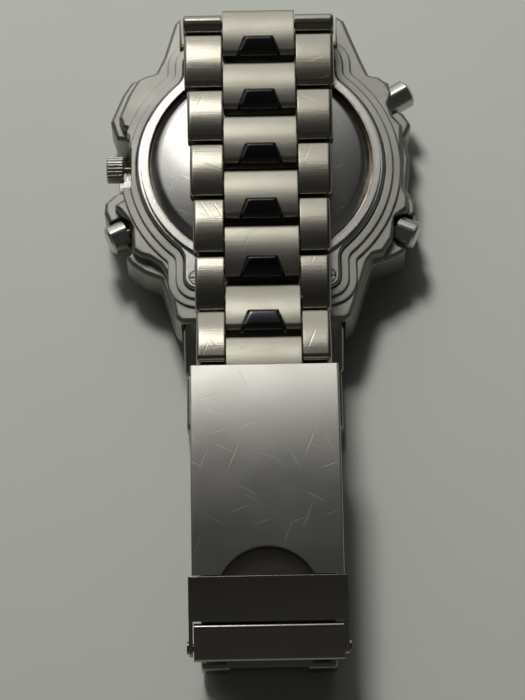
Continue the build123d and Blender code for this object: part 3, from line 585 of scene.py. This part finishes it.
# Polished: it turns dark where it mirrors the dark side of the room, with bright edges.
FLAP = Steel("stainless_steel_polished_flap", "#ABA69E", Grain.POLISHED, 0.14,
             grain_mm=0.9, grain_height_mm=0.002, scratches=0.3, shade_colour="#9E988F")
# Lathe rings, which spread the light into a fan.
TURNED = Steel("stainless_steel_turned", "#C0BEB6", Grain.TURNED, 0.24,
               grain_mm=0.15, grain_height_mm=0.006, scratches=0.2, edge_mm=0.1,
               shade_colour="#AFADA4")
# The same on a larger ring, with more wear.
BEZEL = Steel("stainless_steel_turned_bezel", "#BFBDB6", Grain.TURNED, 0.25,
              grain_mm=0.2, grain_height_mm=0.006, scratches=0.3, edge_mm=0.2,
              shade_colour="#ACAAA1")
# Black chrome on polished steel: nearly black, with a clear image of the light.
INLAY = Steel("black_chrome_inlay", "#58585C", Grain.POLISHED, 0.10,
              grain_mm=0.8, grain_height_mm=0.002, scratches=0.2, edge_mm=0.05,
              shade_colour="#38383A")
# Drawn steel, browned by dirt in the hinges.
PIN = Steel("stainless_steel_pin", "#8F826D", Grain.POLISHED, 0.3,
            grain_mm=0.3, grain_height_mm=0.004, edge_mm=0.05)
# Chromed brass: bright, with sharp mirror images.
HAND = Steel("chromed_brass_hands", "#DAD9D4", Grain.POLISHED, 0.12,
             grain_mm=0.6, grain_height_mm=0.002, edge_mm=0.04)
# Pad-printed ink: white and flat.
INDEX_INK = Solid("dial_print_white", "#D6D8D3", 0.5, texture_mm=0.2, texture_height_mm=0.001)
# Crystal segments that are switched on: dark under the gloss of their cell.
SEGMENT = Solid("liquid_crystal_segment_black", "#23271F", 0.3, texture_mm=0.2,
                texture_height_mm=0.001)
# Enamel wiped into the bezel's marks: black, with little gloss.
MARK_INK = Solid("bezel_mark_enamel_black", "#1C1D1E", 0.45, texture_mm=0.2,
                 texture_height_mm=0.002)
# Moulded rubber: black with a broad soft sheen.
RUBBER = Solid("nitrile_rubber_moulded", "#1B1B1C", 0.6)
# Moulded nylon: black, a little glossier.
NYLON = Solid("nylon_black_moulded", "#202124", 0.45)
# Sprayed lacquer: a deep black with an even gloss.
DIAL = Solid("dial_lacquer_black", "#15171B", 0.28, texture_mm=0.25, texture_height_mm=0.004)
# A reflecting crystal cell: grey green, smooth and even.
LCD = Solid("liquid_crystal_grey_green", "#8A917E", 0.2, texture_mm=1.5,
            texture_height_mm=0.002, variation=0.04)
# Moulded resin: cream and half matt.
RESIN = Solid("movement_resin_cream", "#BDB7A4", 0.5)
# Solder mask on glass laminate: green with a gloss.
BOARD = Solid("circuit_board_green", "#1D4A33", 0.35)
# Enamelled copper wire: a reddish metal under a thin clear coat.
COPPER = Solid("copper_wire_enamelled", "#A8582E", 0.3, texture_mm=0.12,
               texture_height_mm=0.02, metallic=1.0)


@dataclass
class WatchHead:
    """The case with its back, front, movement, crown and push pieces."""

    finishes: Finishes
    nodes: dict[str, bpy.types.Object]
    dress_table: dict[str, Steel | Solid | MineralGlass] = field(default_factory=lambda: {
        "mid_case": BLASTED, "bezel": BEZEL, "crystal": MineralGlass(), "crystal_gasket": NYLON,
        "case_back": BACK, "case_back_screws": TURNED, "back_gasket": RUBBER, "dial": DIAL,
        "lcd_panels": LCD, "hour_hand": HAND, "minute_hand": HAND, "second_hand": HAND,
        "movement_frame": RESIN, "circuit_board": BOARD, "battery": TURNED,
        "stepper_coil": COPPER, "crown": TURNED, "winding_stem": PIN, "setting_lever": PIN,
        "pusher_four": TURNED, "pusher_eight": TURNED, "pusher_ten": TURNED,
        "pusher_springs": PIN, "lug_spring_bars": PIN,
    })
    dome_top: float = 12.93
    dome_fall: float = 0.0066
    shoulder_start: float = 14.2
    dome_foot: float = 15.7
    dome_edge: float = 15.78
    foot_height: float = 10.84
    under_height: float = 10.7
    dome_rings: int = 90
    dome_turns: int = 256

    def dress(self) -> None:
        """Gives each CAD node of the head its finish, and the back its pressed dome."""
        for name, finish in self.dress_table.items():
            dress_node(self.nodes[name], self.finishes.get(finish))
        place_piece("back_dome", self._dome(), self.finishes.get(BACK), "case")

    def _dome(self) -> bpy.types.Mesh:
        """Makes the pressed skin of the back's dome, which runs down smoothly into the groove.

        The height falls with the square of the radius. From the shoulder on it blends into
        the foot's height along a smooth step, 3 s^2 - 2 s^3.

        Returns:
            The skin's mesh, closed underneath.
        """
        radius = np.linspace(0.0, self.dome_edge, self.dome_rings)
        share = np.clip((radius - self.shoulder_start) / (self.dome_foot - self.shoulder_start),
                        0, 1)
        blend = share ** 2 * (3 - 2 * share)
        crown = self.dome_top - self.dome_fall * radius ** 2
        top = np.column_stack([radius, (1 - blend) * crown + blend * self.foot_height])
        under = np.array([[self.dome_edge, self.under_height], [0.0, self.under_height]])
        return revolved_mesh("back_dome", np.vstack([top, under]), self.dome_turns)


@dataclass
class DialFace:
    """What is printed and applied on the front: hour bars, a minute track, digits and bezel marks.

    Seen from the front, three o'clock is on the side of -X. A block's size is its length,
    its width and how far it stands proud.
    """

    finishes: Finishes
    nodes: dict[str, bpy.types.Object]
    hour_count: int = 12
    hour_bar: tuple[float, float, float] = (1.8, 0.55, 0.14)
    hour_radius: float = 12.2
    minute_count: int = 60
    tick: tuple[float, float, float] = (0.5, 0.12, 0.02)
    tick_radius: float = 13.65
    bezel_mark: tuple[float, float, float] = (1.3, 0.22, 0.01)
    bezel_mark_radius: float = 16.9
    sunk: float = 0.03
    window_offset: float = 6.6
    digit_height: float = 2.5
    digit_width: float = 1.25
    digit_places: tuple[float, ...] = (-3.8, -1.7, 1.7, 3.8)
    segment_width: float = 0.28
    segment_proud: float = 0.02
    digit_rows: tuple[tuple[float, str], ...] = ((1.0, "1008"), (-1.0, "2836"))
    segments_lit: dict[str, str] = field(default_factory=lambda: {
        "0": "abcdef", "1": "bc", "2": "abdeg", "3": "abcdg", "4": "bcfg", "5": "acdfg",
        "6": "acdefg", "7": "abc", "8": "abcdefg", "9": "abcdfg"})

    def build(self) -> None:
        """Makes the pieces and lets them ride on the case."""
        dial = lowest(self.nodes["dial"])
        bezel = lowest(self.nodes["bezel"])
        hours = self._ring(self.hour_count, self.hour_radius, self.hour_bar, dial)
        ticks = self._ring(self.minute_count, self.tick_radius, self.tick, dial)
        marks = self._ring(self.minute_count, self.bezel_mark_radius, self.bezel_mark, bezel)
        digits = self._digits(lowest(self.nodes["lcd_panels"]))
        for name, bars, finish, slot in (
                ("hour_bars", hours, HAND, "hand"), ("minute_track", ticks, INDEX_INK, "dial"),
                ("bezel_marks", marks, MARK_INK, "bezel_steel"),
                ("lcd_digits", digits, SEGMENT, "lcd")):
            place_piece(name, bars_mesh(name, bars), self.finishes.get(finish), "case")

    def _ring(self, count: int, radius: float, size: tuple[float, float, float],
              front: float) -> list[Bar]:
        """Places equal blocks on a circle, each pointing to the middle.

        Args:
            count: How many there are.
            radius: The circle's radius.
            size: Length, width and height over the surface.
            front: The height of the surface that carries them.

        Returns:
            The blocks.
        """
        length, width, proud = size
        bars = []
        for index in range(count):
            turn = 2 * math.pi * index / count
            bars.append(Bar(radius * math.cos(turn), radius * math.sin(turn), length, width,
                            turn, front - proud, front + self.sunk))
        return bars

    def _digits(self, front: float) -> list[Bar]:
        """Places the seven-segment digits of both windows.

        Args:
            front: The height of the windows' surface.

        Returns:
            A block for each segment that is switched on.
        """
        bars = []
        half_w, half_h = self.digit_width / 2, self.digit_height / 2
        long_w, long_h = self.digit_width - self.segment_width, half_h - self.segment_width
        upright = math.pi / 2
        shapes = {
            "a": (0.0, half_h, long_w, 0.0), "g": (0.0, 0.0, long_w, 0.0),
            "d": (0.0, -half_h, long_w, 0.0), "f": (-half_w, half_h / 2, long_h, upright),
            "b": (half_w, half_h / 2, long_h, upright),
            "e": (-half_w, -half_h / 2, long_h, upright),
            "c": (half_w, -half_h / 2, long_h, upright)}
        for side, digits in self.digit_rows:
            for place, digit in zip(self.digit_places, digits):
                for segment in self.segments_lit[digit]:
                    right, up, length, turn = shapes[segment]
                    bars.append(Bar(-(place + right), side * self.window_offset + up, length,
                                    self.segment_width, turn, front - self.segment_proud,
                                    front + self.sunk))
        return bars


@dataclass
class Bracelet:
    """The two strands of links, whose middle pieces carry dark inlays."""

    finishes: Finishes
    nodes: dict[str, bpy.types.Object]
    joints: dict[str, dict]
    upper_count: int = 8
    lower_count: int = 7
    half_thickness: float = 1.6
    crown_rise: float = 0.5
    corner: float = 0.85
    centre_start: float = -1.95
    centre_end: float = 5.5
    pitch: float = 8.6
    inlay_length: float = 2.5
    inlay_narrow: float = 3.8
    inlay_wide: float = 5.8
    inlay_proud: float = 0.14
    inlay_last_slope_deg: float = 72.0
    rim_depth: float = 0.3
    rim_round: float = 0.03
    crown_steps: int = 10
    corner_steps: int = 12
    across_steps: int = 15

    def dress(self) -> None:
        """Gives each link its finish and its inlay."""
        for name in sorted(name for name in self.nodes if "_link_" in name):
            dress_node(self.nodes[name], self.finishes.get(LINK))
        for strand, count, outer_side in (("upper", self.upper_count, 1),
                                          ("lower", self.lower_count, -1)):
            hinges = self._hinges(strand, count)
            for index in range(1, count):
                mesh = self._inlay(f"{strand}_inlay_{index}", hinges[index], hinges[index + 1],
                                   outer_side)
                place_piece(mesh.name, mesh, self.finishes.get(INLAY),
                            f"{strand}_link_{index}_body")

    def _hinges(self, strand: str, count: int) -> np.ndarray:
        """Reads where a strand's hinges are.

        Args:
            strand: The strand's name in the joints.
            count: How many links it has.

        Returns:
            Y and Z of each hinge in millimetres, with the point after the last.
        """
        places = [self.joints[f"{strand}_link_{index}_fold"]["pos_m"] for index in range(count)]
        hinges = np.array(places)[:, 1:] / MM
        if strand == "upper":
            last = np.array(self.joints["cover_fold"]["pos_m"])[1:] / MM
        else:
            last = hinges[-1] + np.array([0.0, self.pitch])
        return np.vstack([hinges, last])

    def _path(self) -> tuple[np.ndarray, np.ndarray, np.ndarray]:
        """Works out the inlay's path over the middle piece.

        It runs along an arc of the crown, then round the corner's arc, both grown by the
        height that the inlay stands proud.

        Returns:
            For each point its place along the link, its height over the hinges and its slope.
        """
        chord = self.centre_end - self.centre_start
        radius = chord ** 2 / (8 * self.crown_rise) + self.crown_rise / 2
        middle = (self.centre_start + self.centre_end) / 2
        low = self.half_thickness - radius
        corner_s = self.centre_end - self.corner
        turn_in = math.asin((corner_s - middle) / (radius - self.corner))
        corner_z = low + (radius - self.corner) * math.cos(turn_in)
        first = math.asin((self.centre_end - self.inlay_length - middle) / radius)
        along = np.linspace(first, turn_in, self.crown_steps)
        last = math.radians(self.inlay_last_slope_deg)
        round_end = np.linspace(turn_in, last, self.corner_steps)[1:]
        grown = radius + self.inlay_proud
        small = self.corner + self.inlay_proud
        s = np.concatenate([middle + grown * np.sin(along), corner_s + small * np.sin(round_end)])
        z = np.concatenate([low + grown * np.cos(along), corner_z + small * np.cos(round_end)])
        return s, z, np.concatenate([along, round_end])

    def _inlay(self, name: str, start: np.ndarray, end: np.ndarray,
               outer_side: int) -> bpy.types.Mesh:
        """Makes the inlay's skin, which follows the middle piece's top and its rounded end.

        Along the path the skin is as wide as a trapezoid. Across, it is flat and bends down
        at its rim, at a right angle to the path.

        Args:
            name: The mesh's name.
            start: The link's first hinge, Y and Z.
            end: Its next hinge.
            outer_side: 1 where the outer face is up, -1 where it is down.

        Returns:
            The mesh.
        """
        s, z, tilt = self._path()
        share = np.clip((s - s[0]) / (s[-1] - s[0]), 0, 1)
        half = (self.inlay_narrow + (self.inlay_wide - self.inlay_narrow) * share) / 2
        across = np.concatenate([[-1.0], np.linspace(-1, 1, self.across_steps), [1.0]])
        drop = np.concatenate([[self.rim_depth], np.zeros(self.across_steps), [self.rim_depth]])
        drop[1], drop[-2] = self.rim_round, self.rim_round
        x = half[:, None] * across[None, :]
        x = np.vstack([x[:1], x, x[-1:]])
        deep_s = self._with_ends(s, -np.sin(tilt), drop)
        deep_z = self._with_ends(z, -np.cos(tilt), drop)
        run = (end - start) / np.linalg.norm(end - start)
        normal = outer_side * np.array([run[1], -run[0]])
        y = start[0] + run[0] * deep_s + normal[0] * deep_z
        world_z = start[1] + run[1] * deep_s + normal[1] * deep_z
        points = np.stack([x, y, world_z], axis=-1)
        if outer_side > 0:
            points = points[:, ::-1]
        return grid_mesh(name, points)

    def _with_ends(self, values: np.ndarray, inward: np.ndarray, drop: np.ndarray) -> np.ndarray:
        """Spreads the path's values over the skin's width and bends its two ends in.

        Args:
            values: One coordinate of the path's points.
            inward: The same coordinate of the way into the link.
            drop: How deep each column lies under the path.

        Returns:
            The coordinate of the whole grid, with a row more at either end.
        """
        grid = values[:, None] + inward[:, None] * drop[None, :]
        first = grid[:1] + inward[0] * self.rim_depth
        last = grid[-1:] + inward[-1] * self.rim_depth
        return np.vstack([first, grid, last])


@dataclass
class Clasp:
    """The folding clasp: cover, leaves, end block, flap and pins."""

    finishes: Finishes
    nodes: dict[str, bpy.types.Object]
    dress_table: dict[str, Steel] = field(default_factory=lambda: {
        "clasp_cover": COVER, "clasp_spring_bar": PIN, "knuckle_pin": PIN, "inner_leaf": BLADE,
        "outer_leaf": BLADE, "leaf_pin": PIN, "end_block": FLAP, "safety_flap": FLAP,
        "flap_pins": PIN,
    })

    def dress(self) -> None:
        """Gives each CAD node of the clasp its finish."""
        for name, finish in self.dress_table.items():
            dress_node(self.nodes[name], self.finishes.get(finish))


@dataclass(frozen=True)
class Lamp:
    """A soft square lamp that looks at the watch.

    A lamp that isn't mirrored lights the floor and throws the shadows without a glare on
    the steel.
    """

    name: str
    place_mm: tuple[float, float, float]
    size_m: float
    power_w: float
    mirrored: bool
    colour: str = "#FFFDF9"
    aim_mm: tuple[float, float, float] = (0.0, -20.0, 5.0)

    def build(self) -> None:
        """Puts the lamp in the scene, with its back to where it shines from."""
        data = bpy.data.lights.new(self.name, "AREA")
        data.size = self.size_m
        data.energy = self.power_w
        data.color = linear(self.colour)[:3]
        lamp = bpy.data.objects.new(self.name, data)
        lamp.visible_glossy = self.mirrored
        bpy.context.scene.collection.objects.link(lamp)
        position = np.array(self.place_mm) * MM
        back = position - np.array(self.aim_mm) * MM
        back /= np.linalg.norm(back)
        side = np.cross([0.0, 0.0, 1.0], back)
        side /= np.linalg.norm(side)
        lamp.matrix_world = pose_matrix(side, np.cross(back, side), back, position)


def pose_matrix(right: np.ndarray, up: np.ndarray, back: np.ndarray,
                place: np.ndarray) -> Matrix:
    """Puts three axes and a place into one matrix.

    Args:
        right: The object's X axis.
        up: Its Y axis.
        back: Its Z axis.
        place: Where it stands, in metres.

    Returns:
        The matrix.
    """
    turn = np.eye(4)
    turn[:3, 0], turn[:3, 1], turn[:3, 2], turn[:3, 3] = right, up, back, place
    return Matrix(turn.tolist())


@dataclass
class Studio:
    """The table, the soft lights and the camera."""

    finishes: Finishes
    table_half_mm: float = 900.0
    table_drop_mm: float = 0.06
    table_points: int = 9
    table_colour: str = "#A8ABA5"
    camera_elevation_deg: float = 66.0
    camera_roll_deg: float = 1.0
    # The focal length as the picture's own pixels give it, for a frame 700 pixels high.
    focal_px: float = 2580.0
    frame_px: float = 700.0
    sensor_mm: float = 36.0
    depth_mm: float = 363.0
    depth_height_mm: float = 12.0
    lift_mm: float = -22.0
    shift_mm: float = -0.2
    bright_side: tuple[float, float, float] = (-0.26, 0.83, 0.49)
    # How bright the room is, by how near a direction comes to the bright side.
    room_levels: tuple[tuple[float, float], ...] = (
        (0.0, 0.05), (0.30, 0.045), (0.45, 0.02), (0.70, 0.045), (0.80, 0.21), (0.91, 0.88),
        (1.0, 1.05))
    lamps: tuple[Lamp, ...] = (
        Lamp("key_light", (-70.0, 260.0, 395.0), 0.09, 2.0, mirrored=False),
        Lamp("key_sheen", (-95.0, 345.0, 480.0), 0.16, 0.45, mirrored=True))

    def build(self) -> None:
        """Makes the table, the lights, the world and the camera."""
        self._table()
        self._world()
        for lamp in self.lamps:
            lamp.build()
        self._camera()

    def _table(self) -> None:
        """Makes a wide pale table top just under the watch."""
        span = np.linspace(-self.table_half_mm, self.table_half_mm, self.table_points)
        x, y = np.meshgrid(span, span, indexing="xy")
        points = np.stack([x, y, np.full_like(x, -self.table_drop_mm)], axis=-1)
        mesh = grid_mesh("table_top", points[:, ::-1][::-1])
        table = bpy.data.objects.new("table_top", mesh)
        bpy.context.scene.collection.objects.link(table)
        # Matt laminate: an even pale grey with faint broad clouds.
        finish = Solid("table_top_matt_laminate", self.table_colour, 0.7, texture_mm=14.0,
                       texture_height_mm=0.0, variation=0.05)
        mesh.materials.append(self.finishes.get(finish))

    def _world(self) -> None:
        """Makes a dim room, lighter on the far side than behind the viewer."""
        world = bpy.data.worlds.new("dim_room")
        bpy.context.scene.world = world
        world.use_nodes = True
        tree = world.node_tree
        tree.nodes.clear()
        way = add_node(tree, "ShaderNodeTexCoord").outputs["Generated"]
        toward = add_node(tree, "ShaderNodeVectorMath", {
            "operation": "DOT_PRODUCT", 1: self.bright_side}, {0: way})
        ramp = add_node(tree, "ShaderNodeValToRGB", None, {"Fac": toward.outputs["Value"]})
        set_ramp(ramp, [(place, grey(level)) for place, level in self.room_levels])
        ground = add_node(tree, "ShaderNodeBackground", {"Strength": 1.0},
                          {"Color": ramp.outputs["Color"]})
        add_node(tree, "ShaderNodeOutputWorld", None, {"Surface": ground.outputs[0]})

    def _camera(self) -> None:
        """Puts the camera where the photographer held it: raised, on the six o'clock side."""
        data = bpy.data.cameras.new("camera")
        data.sensor_width = self.sensor_mm
        data.lens = self.focal_px / self.frame_px * self.sensor_mm
        camera = bpy.data.objects.new("camera", data)
        bpy.context.scene.collection.objects.link(camera)
        rise = math.radians(self.camera_elevation_deg)
        roll = math.radians(self.camera_roll_deg)
        right = np.array([1.0, 0.0, 0.0])
        up = np.array([0.0, math.sin(rise), math.cos(rise)])
        back = np.array([0.0, -math.cos(rise), math.sin(rise)])
        distance = self.depth_mm + self.depth_height_mm * math.sin(rise)
        place = (right * self.shift_mm + up * self.lift_mm + back * distance) * MM
        camera.matrix_world = pose_matrix(
            right * math.cos(roll) - up * math.sin(roll),
            right * math.sin(roll) + up * math.cos(roll), back, place)
        bpy.context.scene.camera = camera


def main() -> None:
    """Builds the watch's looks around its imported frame."""
    logging.basicConfig(level=logging.INFO, format="%(name)s: %(message)s")
    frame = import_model()
    finishes = Finishes()
    joints = {joint["name"]: joint for joint in frame["joints"]}
    WatchHead(finishes, frame["nodes"]).dress()
    DialFace(finishes, frame["nodes"]).build()
    Bracelet(finishes, frame["nodes"], joints).dress()
    Clasp(finishes, frame["nodes"]).dress()
    Studio(finishes).build()
    bpy.context.scene.view_settings.view_transform = "Standard"


if __name__ == "__main__":
    main()
